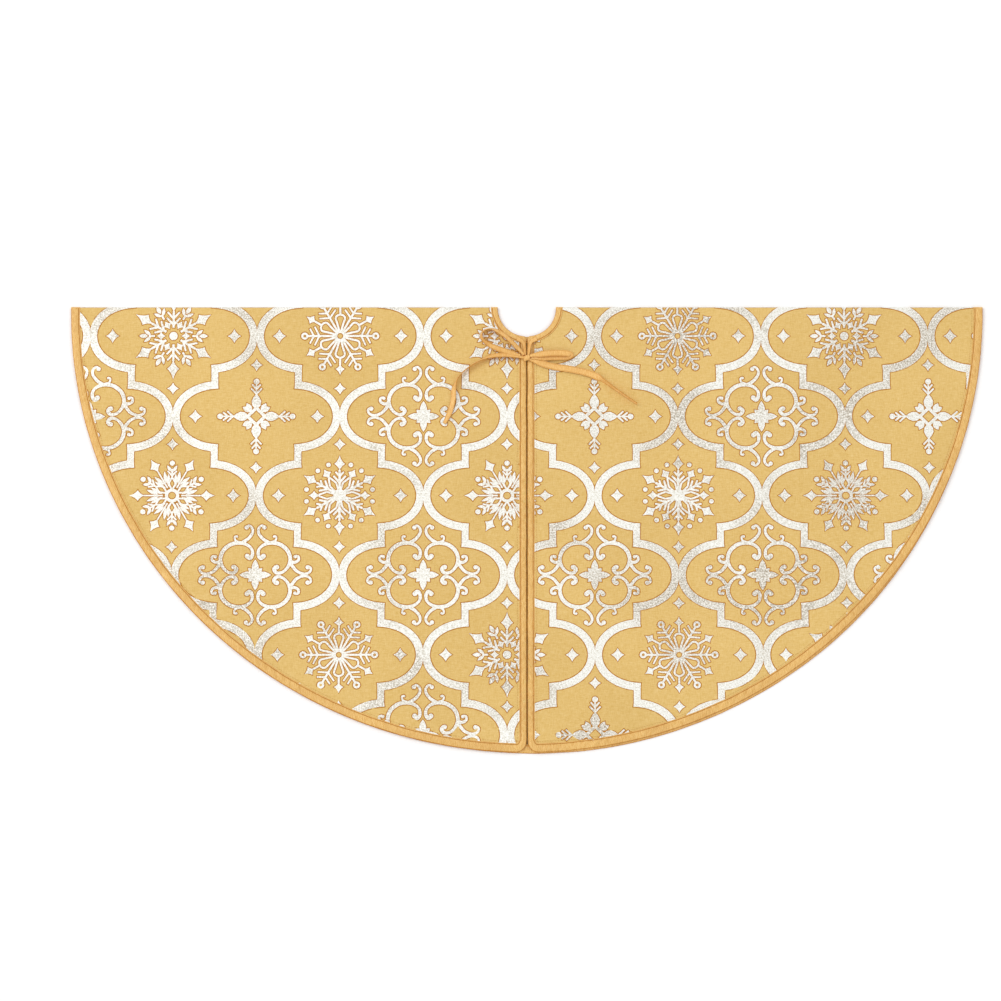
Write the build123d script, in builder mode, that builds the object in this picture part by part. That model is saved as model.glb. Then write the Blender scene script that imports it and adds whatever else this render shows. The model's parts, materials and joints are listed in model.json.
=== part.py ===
"""A round cloth tree skirt, folded in half and laid flat, with its neck ties in a bow.

Millimetres. The origin is the centre of the neck opening, on the fold line, at the surface
that the skirt lies on. +X runs along the fold, -Y runs down the slit to the front of the
hem, and +Z points up out of the front half.
"""
from build123d import *
import os
from math import cos, hypot, radians, sin, tan

# The cut of the skirt, in plan
SKIRT_RADIUS = 610.0
NECK_RADIUS = 39.0
SLIT_HALF_GAP = 1.0
CORNER_RADIUS = 14.0

# Folded tape that binds every edge
HEM_TAPE_WIDTH = 12.0
SLIT_TAPE_WIDTH = 9.5
NECK_TAPE_WIDTH = 9.0
TAPE = 0.4

# Cloth
FACE = 0.6
LINING = 0.4
EDGE_PLAY = 0.2          # between a cloth edge and the bottom of its tape
LAYER_GAP = 0.4          # between the back half and the front half

# Heights of the two halves: the back half lies face down under the front half
TAPE_STACK = 2 * TAPE + FACE + LINING
FOLD_Z = TAPE_STACK + LAYER_GAP / 2
FRONT_BOTTOM = TAPE_STACK + LAYER_GAP
FRONT_LINING = FRONT_BOTTOM + TAPE
FRONT_FACE = FRONT_LINING + LINING
FRONT_TOP = FRONT_BOTTOM + TAPE_STACK
BACK_START = 2.0         # how far the back half stays from the fold axis

# The two front corners that turn back beside the slit, about a slanting fold
FLAP_APEX = 185.0        # where both folds meet the slit
FLAP_SLANT = 45.0        # degrees between a fold and the slit
FLAP_HALF_GAP = 0.3

# Ends of the slit tape
HEM_CORNER_START = 590.0
SLIT_ZONE_HALF_WIDTH = 60.0

# Neck ties, tied in a bow
TIE_WIDTH = 7.5
TIE_THICKNESS = 1.0
TIE_BOTTOM = FRONT_TOP + 0.3
LOOP_BOTTOM = TIE_BOTTOM + TIE_THICKNESS + 0.3
LOOP_HEIGHT = 6.0
KNOT_CENTRE = (0.0, -70.0)
KNOT_SIZE = (12.0, 11.0, 8.0)
KNOT_ROUND = 2.0
KNOT_PLAY = 0.2
STUB_WIDTH = 7.0

LEFT_TAIL = [(-5, -69.5), (-34, -62), (-72, -77), (-98, -102), (-98, -138), (-110, -160)]
RIGHT_TAIL = [(5, -71.5), (28, -82), (60, -86), (96, -95), (121, -116), (147, -134)]
LEFT_LOOP = [(-4, -66), (-18, -50), (-34, -35), (-52, -28), (-64, -38), (-54, -51), (-32, -60), (-9, -67)]
RIGHT_LOOP = [(5, -67), (20, -62.5), (38, -59), (55, -60), (57, -75), (42, -77.5), (25, -74), (8, -72)]

LEFT = -1
RIGHT = 1
SIDE_NAME = {LEFT: "left", RIGHT: "right"}

os.makedirs("parts", exist_ok=True)


def save(piece, label):
    """Names a finished piece and writes its file."""
    piece.part.label = label
    export_step(piece.part, f"parts/{label}.step")


def quarter_plan(plan, side, inset_neck, inset_slit, inset_hem):
    """One front quarter of the skirt, each edge moved in by its inset."""
    hem = SKIRT_RADIUS - inset_hem
    slit = SLIT_HALF_GAP + inset_slit
    Circle(hem)
    Circle(NECK_RADIUS + inset_neck, mode=Mode.SUBTRACT)
    near_side = Align.MIN if side == RIGHT else Align.MAX
    with Locations((side * slit, 0)):
        Rectangle(SKIRT_RADIUS, SKIRT_RADIUS, align=(near_side, Align.MAX), mode=Mode.INTERSECT)
    hem_corner = (side * slit, -(hem**2 - slit**2) ** 0.5, 0)
    fillet(plan.vertices().sort_by_distance(hem_corner)[0], CORNER_RADIUS - inset_slit)


def cut_at_flap(side, is_flap):
    """Keeps the corner that turns back, or all but that corner."""
    along = Vector(side * sin(radians(FLAP_SLANT)), -cos(radians(FLAP_SLANT)))
    across = Vector(-side * cos(radians(FLAP_SLANT)), -sin(radians(FLAP_SLANT)))
    shift = FLAP_HALF_GAP if is_flap else -FLAP_HALF_GAP
    start = Vector(0, -FLAP_APEX) + across * shift
    reach = 2 * SKIRT_RADIUS
    corners = [
        start - along * reach,
        start + along * reach,
        start + along * reach + across * reach,
        start - along * reach + across * reach,
    ]
    Polygon(*[(c.X, c.Y) for c in corners], align=None, mode=Mode.INTERSECT if is_flap else Mode.SUBTRACT)


def front_cloth(side, is_flap, bottom, thickness):
    """One layer of cloth of a front quarter, or of the corner that turns back."""
    inset = TAPE + EDGE_PLAY
    with BuildPart() as cloth:
        with BuildSketch(Plane.XY.offset(bottom)) as plan:
            quarter_plan(plan, side, inset, inset, inset)
            cut_at_flap(side, is_flap)
        extrude(amount=thickness)
        if not is_flap:
            roll_over_fold(side, bottom, thickness)
    return cloth


def roll_over_fold(side, bottom, thickness):
    """The half turn that the cloth makes round the fold line, down to the back half."""
    inner = bottom - FOLD_Z
    neck_end = NECK_RADIUS + TAPE + EDGE_PLAY
    hem_end = SKIRT_RADIUS - TAPE - EDGE_PLAY
    with BuildSketch(Plane.YZ.offset(side * neck_end)) as section:
        with Locations((0, FOLD_Z)):
            Circle(inner + thickness)
            Circle(inner, mode=Mode.SUBTRACT)
            Rectangle(SKIRT_RADIUS, SKIRT_RADIUS, align=(Align.MIN, Align.CENTER), mode=Mode.INTERSECT)
    extrude(section.sketch, amount=side * (hem_end - neck_end))


def neck_zone(side):
    """Where the neck tape runs."""
    Circle(NECK_RADIUS + NECK_TAPE_WIDTH, mode=Mode.INTERSECT)


def slit_zone(side):
    """Where the slit tape runs, from the neck tape to the rounded hem corner."""
    cut_length = HEM_CORNER_START
    Rectangle(2 * SLIT_ZONE_HALF_WIDTH, cut_length, align=(Align.CENTER, Align.MAX), mode=Mode.INTERSECT)
    Circle(NECK_RADIUS + NECK_TAPE_WIDTH + EDGE_PLAY, mode=Mode.SUBTRACT)


def hem_zone(side):
    """Where the hem tape runs, with the rounded corner at the slit."""
    cut_length = HEM_CORNER_START + EDGE_PLAY
    Rectangle(2 * SLIT_ZONE_HALF_WIDTH, cut_length, align=(Align.CENTER, Align.MAX), mode=Mode.SUBTRACT)


def front_tape(side, zone, is_flap):
    """Tape folded over the edge of a front quarter: two lips and a closed side."""
    with BuildPart() as tape:
        with BuildSketch(Plane.XY.offset(FRONT_BOTTOM)) as outline:
            quarter_plan(outline, side, 0, 0, 0)
            zone(side)
            cut_at_flap(side, is_flap)
        extrude(amount=TAPE_STACK)
        with BuildSketch(Plane.XY.offset(FRONT_BOTTOM)) as inside:
            quarter_plan(inside, side, NECK_TAPE_WIDTH, SLIT_TAPE_WIDTH, HEM_TAPE_WIDTH)
        extrude(amount=TAPE_STACK, mode=Mode.SUBTRACT)
        with BuildSketch(Plane.XY.offset(FRONT_LINING)) as slot:
            quarter_plan(slot, side, TAPE, TAPE, TAPE)
        extrude(amount=FACE + LINING, mode=Mode.SUBTRACT)
    return tape


def half_ring(outer, inner, bottom, height, mode=Mode.ADD):
    """A flat half ring in front of the fold, in the open part."""
    with BuildSketch(Plane.XY.offset(bottom)) as ring:
        Circle(outer)
        Circle(inner, mode=Mode.SUBTRACT)
        with Locations((0, -BACK_START)):
            Rectangle(2 * SKIRT_RADIUS, SKIRT_RADIUS, align=(Align.CENTER, Align.MAX), mode=Mode.INTERSECT)
    extrude(ring.sketch, amount=height, mode=mode)


def smooth_path(points):
    """Straight runs joined by arcs as large as their runs allow. It prints each radius."""
    runs = [hypot(b[0] - a[0], b[1] - a[1]) for a, b in zip(points, points[1:])]
    radii = []
    for i in range(1, len(points) - 1):
        before = Vector(*points[i]) - Vector(*points[i - 1])
        after = Vector(*points[i + 1]) - Vector(*points[i])
        half_turn = radians(before.get_angle(after)) / 2
        radii.append(0.45 * min(runs[i - 1], runs[i]) / tan(half_turn))
    print("    arc radii", [round(r, 1) for r in radii])
    return FilletPolyline(*points, radius=radii)


def tie_piece(points, bottom, width, height, label):
    """A stretch of tie, as wide as it lies in plan, ending at the knot."""
    print(label)
    with BuildPart() as tie:
        with BuildSketch(Plane.XY.offset(bottom)):
            with BuildLine() as route:
                smooth_path(points)
            trace(route.line, width)
        extrude(amount=height)
        length = sum(edge.length for edge in route.edges())
        filled = tie.part.volume / (width * height)
        print(f"    length {length:.1f}, volume over section {filled:.1f}")
        with Locations((*KNOT_CENTRE, TIE_BOTTOM)):
            Box(
                KNOT_SIZE[0] + 2 * KNOT_PLAY,
                KNOT_SIZE[1] + 2 * KNOT_PLAY,
                4 * KNOT_SIZE[2],
                mode=Mode.SUBTRACT,
            )
    save(tie, label)


# Front half, without the two corners that turn back
for side, name in SIDE_NAME.items():
    save(front_cloth(side, False, FRONT_FACE, FACE), f"{name}_front_face")
    save(front_cloth(side, False, FRONT_LINING, LINING), f"{name}_front_lining")
    save(front_tape(side, hem_zone, False), f"{name}_front_hem_tape")
    save(front_tape(side, slit_zone, False), f"{name}_front_slit_tape")
    save(front_tape(side, neck_zone, False), f"{name}_front_neck_tape")

# The corners beside the slit that turn back
for side, name in SIDE_NAME.items():
    save(front_cloth(side, True, FRONT_FACE, FACE), f"{name}_corner_face")
    save(front_cloth(side, True, FRONT_LINING, LINING), f"{name}_corner_lining")
    save(front_tape(side, hem_zone, True), f"{name}_corner_hem_tape")
    save(front_tape(side, slit_zone, True), f"{name}_corner_slit_tape")

# Back half, face down
CLOTH_HEM = SKIRT_RADIUS - TAPE - EDGE_PLAY
CLOTH_NECK = NECK_RADIUS + TAPE + EDGE_PLAY

with BuildPart() as back_face:
    half_ring(CLOTH_HEM, CLOTH_NECK, TAPE, FACE)
save(back_face, "back_face")

with BuildPart() as back_lining:
    half_ring(CLOTH_HEM, CLOTH_NECK, TAPE + FACE, LINING)
save(back_lining, "back_lining")

with BuildPart() as back_hem_tape:
    half_ring(SKIRT_RADIUS, SKIRT_RADIUS - HEM_TAPE_WIDTH, 0, TAPE_STACK)
    half_ring(SKIRT_RADIUS - TAPE, NECK_RADIUS, TAPE, FACE + LINING, Mode.SUBTRACT)
save(back_hem_tape, "back_hem_tape")

with BuildPart() as back_neck_tape:
    half_ring(NECK_RADIUS + NECK_TAPE_WIDTH, NECK_RADIUS, 0, TAPE_STACK)
    half_ring(SKIRT_RADIUS, NECK_RADIUS + TAPE, TAPE, FACE + LINING, Mode.SUBTRACT)
save(back_neck_tape, "back_neck_tape")

# The bow: a knot over the slit, with the ties running into it and out of it
with BuildPart() as bow_knot:
    with BuildSketch(Plane.XY.offset(TIE_BOTTOM)):
        with Locations(KNOT_CENTRE):
            RectangleRounded(KNOT_SIZE[0], KNOT_SIZE[1], KNOT_ROUND)
    extrude(amount=KNOT_SIZE[2])
    fillet(bow_knot.faces().sort_by(Axis.Z)[-1].edges(), KNOT_ROUND)
save(bow_knot, "bow_knot")

STUB_START = KNOT_CENTRE[1] + KNOT_SIZE[1] / 2 + KNOT_PLAY
STUB_LENGTH = NECK_TAPE_WIDTH + KNOT_SIZE[1]

for side, name in SIDE_NAME.items():
    with BuildPart() as tie_stub:
        with BuildSketch(Plane.XY.offset(TIE_BOTTOM)):
            with Locations((side * (SLIT_HALF_GAP + STUB_WIDTH / 2), STUB_START)):
                Rectangle(STUB_WIDTH, STUB_LENGTH, align=(Align.CENTER, Align.MIN))
        extrude(amount=TIE_THICKNESS)
    save(tie_stub, f"{name}_tie_stub")

tie_piece(LEFT_TAIL, TIE_BOTTOM, TIE_WIDTH, TIE_THICKNESS, "left_tie_tail")
tie_piece(RIGHT_TAIL, TIE_BOTTOM, TIE_WIDTH, TIE_THICKNESS, "right_tie_tail")
tie_piece(LEFT_LOOP, LOOP_BOTTOM, TIE_THICKNESS, LOOP_HEIGHT, "left_bow_loop")
tie_piece(RIGHT_LOOP, LOOP_BOTTOM, TIE_THICKNESS, LOOP_HEIGHT, "right_bow_loop")
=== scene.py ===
"""The looks of a round cloth tree skirt, folded in half, with its neck ties in a bow.

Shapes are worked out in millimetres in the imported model's frame and turned into metres when
a mesh is made: +X along the fold, -Y down the slit, +Z up out of the front half.
"""

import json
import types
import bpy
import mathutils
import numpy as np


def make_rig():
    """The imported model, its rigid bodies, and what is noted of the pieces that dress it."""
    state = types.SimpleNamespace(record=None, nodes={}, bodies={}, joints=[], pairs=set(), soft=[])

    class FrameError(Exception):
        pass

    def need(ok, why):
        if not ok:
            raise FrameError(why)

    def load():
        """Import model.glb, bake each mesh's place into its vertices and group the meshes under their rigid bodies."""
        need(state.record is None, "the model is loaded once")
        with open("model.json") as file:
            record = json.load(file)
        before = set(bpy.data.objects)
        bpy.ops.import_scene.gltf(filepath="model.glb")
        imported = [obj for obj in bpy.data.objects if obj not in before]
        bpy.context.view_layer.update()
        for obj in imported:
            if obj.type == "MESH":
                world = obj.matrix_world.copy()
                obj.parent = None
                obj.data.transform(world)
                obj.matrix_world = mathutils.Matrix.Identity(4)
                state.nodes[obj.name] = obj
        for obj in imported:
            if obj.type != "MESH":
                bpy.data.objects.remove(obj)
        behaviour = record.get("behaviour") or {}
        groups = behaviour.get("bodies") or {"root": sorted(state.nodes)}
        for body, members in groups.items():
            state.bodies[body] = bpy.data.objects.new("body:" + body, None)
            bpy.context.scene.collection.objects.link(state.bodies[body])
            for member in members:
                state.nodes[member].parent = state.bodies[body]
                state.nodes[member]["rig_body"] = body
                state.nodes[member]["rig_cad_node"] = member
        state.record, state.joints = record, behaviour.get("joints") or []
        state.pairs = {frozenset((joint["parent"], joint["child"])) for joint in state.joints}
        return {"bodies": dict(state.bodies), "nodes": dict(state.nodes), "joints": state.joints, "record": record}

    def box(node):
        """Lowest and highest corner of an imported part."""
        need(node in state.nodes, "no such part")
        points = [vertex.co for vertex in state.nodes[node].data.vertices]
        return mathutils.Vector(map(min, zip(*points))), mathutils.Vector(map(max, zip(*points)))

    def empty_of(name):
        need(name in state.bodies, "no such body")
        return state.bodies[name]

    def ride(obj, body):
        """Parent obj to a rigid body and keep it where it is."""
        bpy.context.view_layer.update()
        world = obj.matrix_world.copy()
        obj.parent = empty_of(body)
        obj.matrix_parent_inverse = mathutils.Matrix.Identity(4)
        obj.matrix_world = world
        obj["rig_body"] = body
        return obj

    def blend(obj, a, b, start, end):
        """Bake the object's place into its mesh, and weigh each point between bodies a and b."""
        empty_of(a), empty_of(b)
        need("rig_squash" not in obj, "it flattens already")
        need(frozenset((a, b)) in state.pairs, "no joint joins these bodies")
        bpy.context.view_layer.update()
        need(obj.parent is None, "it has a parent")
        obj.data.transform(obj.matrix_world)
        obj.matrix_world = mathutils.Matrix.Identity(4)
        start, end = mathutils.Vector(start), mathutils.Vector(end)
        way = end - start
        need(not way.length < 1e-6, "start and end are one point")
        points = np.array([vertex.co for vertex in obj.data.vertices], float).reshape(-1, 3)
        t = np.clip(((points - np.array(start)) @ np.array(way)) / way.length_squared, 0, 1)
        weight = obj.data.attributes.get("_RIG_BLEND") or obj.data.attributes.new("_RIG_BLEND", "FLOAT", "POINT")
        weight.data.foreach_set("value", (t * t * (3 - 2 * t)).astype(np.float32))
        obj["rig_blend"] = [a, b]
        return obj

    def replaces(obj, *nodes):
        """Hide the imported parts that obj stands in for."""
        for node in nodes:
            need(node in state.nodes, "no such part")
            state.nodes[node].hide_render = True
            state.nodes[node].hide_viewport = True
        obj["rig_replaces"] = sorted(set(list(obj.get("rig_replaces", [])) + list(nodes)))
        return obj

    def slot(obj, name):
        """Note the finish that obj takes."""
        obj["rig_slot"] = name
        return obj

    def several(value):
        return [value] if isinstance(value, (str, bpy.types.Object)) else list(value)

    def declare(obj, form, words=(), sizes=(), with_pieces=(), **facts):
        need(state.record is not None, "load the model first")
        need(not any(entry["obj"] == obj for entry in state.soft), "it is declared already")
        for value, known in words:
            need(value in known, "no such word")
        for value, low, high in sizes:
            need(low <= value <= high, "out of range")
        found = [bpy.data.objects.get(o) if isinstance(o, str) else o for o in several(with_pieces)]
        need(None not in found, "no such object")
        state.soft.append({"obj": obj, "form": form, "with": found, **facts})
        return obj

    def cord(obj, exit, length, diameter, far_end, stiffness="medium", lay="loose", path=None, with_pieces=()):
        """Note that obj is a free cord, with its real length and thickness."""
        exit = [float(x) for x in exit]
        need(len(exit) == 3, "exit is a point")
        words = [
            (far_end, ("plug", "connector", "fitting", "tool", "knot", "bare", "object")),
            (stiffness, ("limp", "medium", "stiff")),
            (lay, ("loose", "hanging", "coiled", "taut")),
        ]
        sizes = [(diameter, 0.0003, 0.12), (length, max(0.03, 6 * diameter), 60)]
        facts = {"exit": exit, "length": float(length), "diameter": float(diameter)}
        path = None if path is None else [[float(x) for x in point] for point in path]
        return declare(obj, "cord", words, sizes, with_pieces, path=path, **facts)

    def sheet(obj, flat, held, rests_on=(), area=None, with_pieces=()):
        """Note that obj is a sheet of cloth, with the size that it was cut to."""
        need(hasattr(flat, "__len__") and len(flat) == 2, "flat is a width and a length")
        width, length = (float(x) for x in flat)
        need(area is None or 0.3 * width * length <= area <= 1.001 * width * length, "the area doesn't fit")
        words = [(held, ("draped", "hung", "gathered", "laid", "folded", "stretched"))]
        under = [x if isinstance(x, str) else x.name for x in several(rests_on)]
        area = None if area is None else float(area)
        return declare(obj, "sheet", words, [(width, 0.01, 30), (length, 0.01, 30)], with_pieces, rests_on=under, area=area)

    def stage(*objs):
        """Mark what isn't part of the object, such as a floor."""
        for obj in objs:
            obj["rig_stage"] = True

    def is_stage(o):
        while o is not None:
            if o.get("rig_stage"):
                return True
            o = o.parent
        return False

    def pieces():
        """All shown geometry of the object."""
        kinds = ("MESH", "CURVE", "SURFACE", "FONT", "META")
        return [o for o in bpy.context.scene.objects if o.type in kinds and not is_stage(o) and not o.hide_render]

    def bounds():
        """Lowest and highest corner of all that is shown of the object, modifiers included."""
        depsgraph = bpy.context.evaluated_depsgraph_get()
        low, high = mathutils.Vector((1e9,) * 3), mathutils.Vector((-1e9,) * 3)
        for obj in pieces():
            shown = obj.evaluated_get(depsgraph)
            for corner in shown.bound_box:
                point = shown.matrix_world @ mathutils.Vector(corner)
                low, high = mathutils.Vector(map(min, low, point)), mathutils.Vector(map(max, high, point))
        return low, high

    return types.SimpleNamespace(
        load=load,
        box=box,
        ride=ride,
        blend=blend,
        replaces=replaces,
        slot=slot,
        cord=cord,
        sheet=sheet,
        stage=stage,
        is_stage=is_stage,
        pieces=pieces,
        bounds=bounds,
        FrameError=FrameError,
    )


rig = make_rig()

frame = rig.load()

import json
import math
import random

import bmesh
import bpy
import numpy as np
from mathutils import Vector, noise
from mathutils.geometry import delaunay_2d_cdt

CAD_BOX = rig.bounds()
MM = 0.001
RIGHT, LEFT = 1, -1
SIDE_NAME = {LEFT: "left", RIGHT: "right"}
JOINTS = {joint["name"]: joint for joint in frame["joints"]}
shuffle = random.Random(7)


def lowest(node, axis):
    """The low side of a node's box, in mm."""
    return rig.box(node)[0][axis] / MM


def highest(node, axis):
    """The high side of a node's box, in mm."""
    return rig.box(node)[1][axis] / MM


# ---- sizes, from the frame
X, Y, Z = 0, 1, 2
SKIRT_RADIUS = highest("back_hem_tape", X)
SLIT_EDGE = lowest("right_front_slit_tape", X)
SLIT_TAPE = highest("right_front_slit_tape", X) - SLIT_EDGE
HEM_TAPE = 12.0
NECK_TAPE = 9.0
NECK_RADIUS = highest("back_neck_tape", X) - NECK_TAPE
CORNER_RADIUS = 14.0
FACE_TOP = highest("left_corner_face", Z)
FACE_BOTTOM = lowest("left_corner_face", Z)
LINING_BOTTOM = lowest("left_corner_lining", Z)
TAPE_TOP = highest("left_corner_hem_tape", Z)
TAPE_BOTTOM = lowest("left_corner_hem_tape", Z)
BACK_FACE_BOTTOM = lowest("back_face", Z)
BACK_FACE_TOP = highest("back_face", Z)
BACK_LINING_TOP = highest("back_lining", Z)
BACK_TAPE_BOTTOM = lowest("back_hem_tape", Z)
BACK_TAPE_TOP = highest("back_hem_tape", Z)
FOLD_Z = JOINTS["fold"]["pos_m"][Z] / MM
HINGE_START = [v / MM for v in JOINTS["left_turn_back"]["pos_m"]]

# ---- the lie of the cloth
FOLD_CALM = 16.0         # how far from the fold the cloth takes to rise
FOLD_ROWS = [1.5, 3.5, 5.5, 8.0, 11.0, 14.5, 18.5]    # rows of mesh points beside the fold
EDGE_PLAY = 0.8          # between a cloth edge and the outside of its tape
LAYER_GAP = 0.02         # that the face and the lining each keep from the plane between them
OUTLINE_STEP = 5.0       # along the cut edge of the cloth and of its print
GRID = 9.0               # spacing of the cloth's mesh points
EDGE_CLEAR = 5.0         # which keep this far from the edges
BEND_START = 2.0         # where the strip that bends begins, on the still side of the slanting fold
BEND_END = -6.0          # where it ends, on the side of the corner that turns back
FOIL = 0.12              # how far the print stands off the cloth
RIM = 1.15               # the pressed rim's width round the print
RIM_LIFT = 0.025         # how far the rim stands off the cloth
PRINT_INSET = 7.0        # the print ends this far in from an edge, under the tape
FOLD_OUTER = FACE_TOP - FOLD_Z
FOLD_ROUND = math.pi * FOLD_OUTER    # the cloth that goes round the fold


def ease(t):
    """0 below 0, 1 above 1 and a smooth step between."""
    t = min(max(t, 0.0), 1.0)
    return t * t * (3 - 2 * t)


def lift(x, y):
    """How far the lying front stands off its flat place, in mm."""
    swell = 0.55 + 1.1 * noise.noise(Vector((x / 190, y / 150, 3.7)))
    wave = 0.30 * noise.noise(Vector((x / 60, y / 75, 9.1)))
    r = math.hypot(x, y)
    angle = math.atan2(y, x)
    along = angle * SKIRT_RADIUS
    drift = 2.5 * noise.noise(Vector((along / 90, 5.0, 0.0)))
    near_hem = math.exp(-(((r - SKIRT_RADIUS + HEM_TAPE + 5) / 13) ** 2))
    ripple = 0.20 * near_hem * math.sin(along / 4.4 + drift)
    return ease(-y / FOLD_CALM) * (max(swell + wave, 0.0) + ripple)


def back_lift(x, y):
    """The back half lies under the front and follows it more gently, and lies flat under the slit."""
    return 0.5 * min(lift(x, y), 1.2) * ease(abs(x) / 45)


# ---- meshes
def piece_from(name, points, faces, material, slot):
    """A closed mesh from points in mm, its normals outward and its edges kept sharp."""
    mesh = bpy.data.meshes.new(name)
    mesh.from_pydata([(p[0] * MM, p[1] * MM, p[2] * MM) for p in points], [], faces)
    build = bmesh.new()
    build.from_mesh(mesh)
    bmesh.ops.recalc_face_normals(build, faces=build.faces)
    build.to_mesh(mesh)
    build.free()
    mesh.shade_smooth()
    mesh.set_sharp_from_angle(angle=math.radians(48))
    mesh.materials.append(material)
    piece = bpy.data.objects.new(name, mesh)
    bpy.context.scene.collection.objects.link(piece)
    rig.slot(piece, slot)
    return piece


def triangulate(polygons, region=None, loose_points=(), cuts=()):
    """The union of some polygons, cut to a region, as plan points and triangles."""
    points = []
    faces = []
    for polygon in polygons:
        faces.append(list(range(len(points), len(points) + len(polygon))))
        points += [Vector(p) for p in polygon]
    region_face = None
    if region:
        region_face = len(faces)
        faces.append(list(range(len(points), len(points) + len(region))))
        points += [Vector(p) for p in region]
    edges = []
    for start, end in cuts:
        edges.append((len(points), len(points) + 1))
        points += [Vector(start), Vector(end)]
    points += [Vector(p) for p in loose_points]
    plan, _, triangles, _, _, sources = delaunay_2d_cdt(points, edges, faces, 1, 1e-3, True)
    kept = []
    for triangle, source in zip(triangles, sources):
        inside = region_face is None or region_face in source
        if inside and any(face != region_face for face in source):
            kept.append(triangle)
    used = sorted({i for triangle in kept for i in triangle})
    new_index = {old: new for new, old in enumerate(used)}
    plan = [(plan[i].x, plan[i].y) for i in used]
    return plan, [[new_index[i] for i in triangle] for triangle in kept]


def thin_solid(name, plan, triangles, outer, inner, material, slot):
    """A closed sheet between two heights over the same plan."""
    count = len(plan)
    points = [outer(x, y) for x, y in plan] + [inner(x, y) for x, y in plan]
    faces = [list(t) for t in triangles] + [[i + count for i in reversed(t)] for t in triangles]
    edges = {}
    for a, b, c in triangles:
        for start, end in ((a, b), (b, c), (c, a)):
            if (end, start) in edges:
                del edges[(end, start)]
            else:
                edges[(start, end)] = True
    faces += [[b, a, a + count, b + count] for a, b in edges]
    return piece_from(name, points, faces, material, slot)


def ring_faces(rings, count, first=0):
    """Faces between neighbouring rings of a sweep, each ring a closed loop of so many points."""
    faces = []
    for start in range(first, first + (rings - 1) * count, count):
        for k in range(count):
            a, b = start + k, start + (k + 1) % count
            faces.append([a, b, b + count, a + count])
    return faces


def level(height, rise):
    """A function from plan to space: so high above the floor, plus the cloth's rise there."""
    return lambda x, y: (x, y, height + rise(x, y))


def arc(centre, radius, start, end, step):
    """Points along an arc, angles in degrees, both ends included."""
    count = max(2, round(abs(math.radians(end - start)) * radius / step))
    angles = [math.radians(start + (end - start) * i / count) for i in range(count + 1)]
    return [(centre[0] + radius * math.cos(a), centre[1] + radius * math.sin(a)) for a in angles]


def round_corner():
    """The centre of the rounded corner between slit and hem, and its angle on the hem, in degrees."""
    x = SLIT_EDGE + CORNER_RADIUS
    y = -math.sqrt((SKIRT_RADIUS - CORNER_RADIUS) ** 2 - x**2)
    return (x, y), math.degrees(math.atan2(y, x))


def quarter_outline(side, inset, step):
    """The outline of one front quarter, anticlockwise, each edge moved in by the inset."""
    hem = SKIRT_RADIUS - inset
    neck = NECK_RADIUS + inset
    slit = SLIT_EDGE + inset
    corner = CORNER_RADIUS - inset
    centre, hem_angle = round_corner()
    neck_angle = math.degrees(math.atan2(-math.sqrt(neck**2 - slit**2), slit))
    outline = arc(centre, corner, -180, hem_angle, step / 3)
    outline += arc((0, 0), hem, hem_angle, 0, step)[1:]
    outline += arc((0, 0), neck, 0, neck_angle, step / 2)
    if side == LEFT:
        outline = [(-x, y) for x, y in reversed(outline)]
    return outline


def hinge_directions(side):
    """Unit directions in plan down a slanting fold and away from the corner that it turns back."""
    axis = JOINTS[f"{SIDE_NAME[side]}_turn_back"]["axis"]
    down = -1 if axis[1] > 0 else 1
    along = (axis[0] * down, axis[1] * down)
    return along, (-along[1] * side, along[0] * side)


def hinge_cuts(side):
    """Short cuts in lines along the slanting fold, close enough together to bend smoothly."""
    along, away = hinge_directions(side)
    cuts = []
    for offset in np.linspace(BEND_END, BEND_START, 9):
        x = HINGE_START[0] + away[0] * offset
        y = HINGE_START[1] + away[1] * offset
        stops = np.arange(-40, SKIRT_RADIUS, GRID)
        spots = [(x + along[0] * t, y + along[1] * t) for t in stops]
        cuts += list(zip(spots, spots[1:]))
    return cuts


def turn_with_fold(piece):
    """A piece that goes round the fold bends there, between front half and back half."""
    reach = (TAPE_TOP - FOLD_Z) * MM
    middle = FOLD_Z * MM
    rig.blend(piece, "front_half", "back_half", (0, 0, middle + reach), (0, 0, middle - reach))


def turn_with_corner(piece, side):
    """A piece that crosses the slanting fold bends there, between front half and corner."""
    x, y, z = HINGE_START
    _, away = hinge_directions(side)
    start, end = (
        ((x + away[0] * offset) * MM, (y + away[1] * offset) * MM, z * MM)
        for offset in (BEND_START, BEND_END)
    )
    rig.blend(piece, "front_half", f"{SIDE_NAME[side]}_corner", start, end)


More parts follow.
